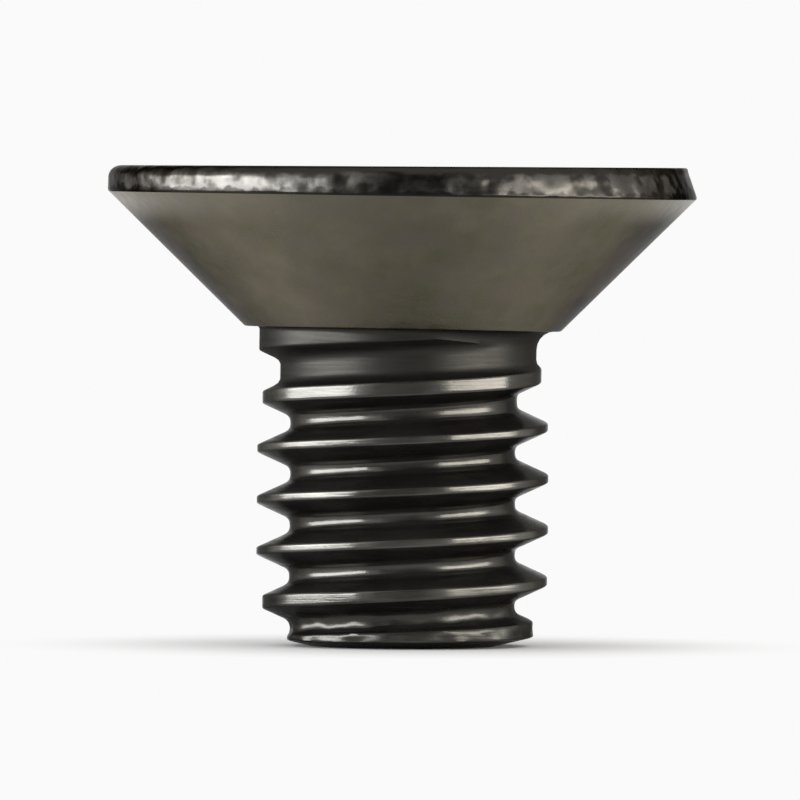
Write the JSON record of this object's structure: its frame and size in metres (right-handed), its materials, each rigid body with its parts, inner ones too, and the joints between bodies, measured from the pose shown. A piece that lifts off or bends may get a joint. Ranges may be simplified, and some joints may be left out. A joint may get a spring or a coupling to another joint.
{
  "type": "countersunk self-tapping screw",
  "caption": "Short black countersunk self-tapping screw: cross-recessed flat head, thread-forming M4 thread that runs out under the head, and a tapered blunt end.",
  "frame": {"origin": "centre of the flat end face, on the screw's axis", "axes": "+Z along the screw's axis from the end to the head; +X and +Y along the wings of the cross recess"},
  "size_m": [0.008, 0.008, 0.0066],
  "materials": {
    "black_steel": "black oxide: matt on the countersink, oiled and glossy on the thread, worn bright in specks along the rim"
  },
  "bodies": {
    "root": {"screw": "black_steel"}
  },
  "joints": []
}
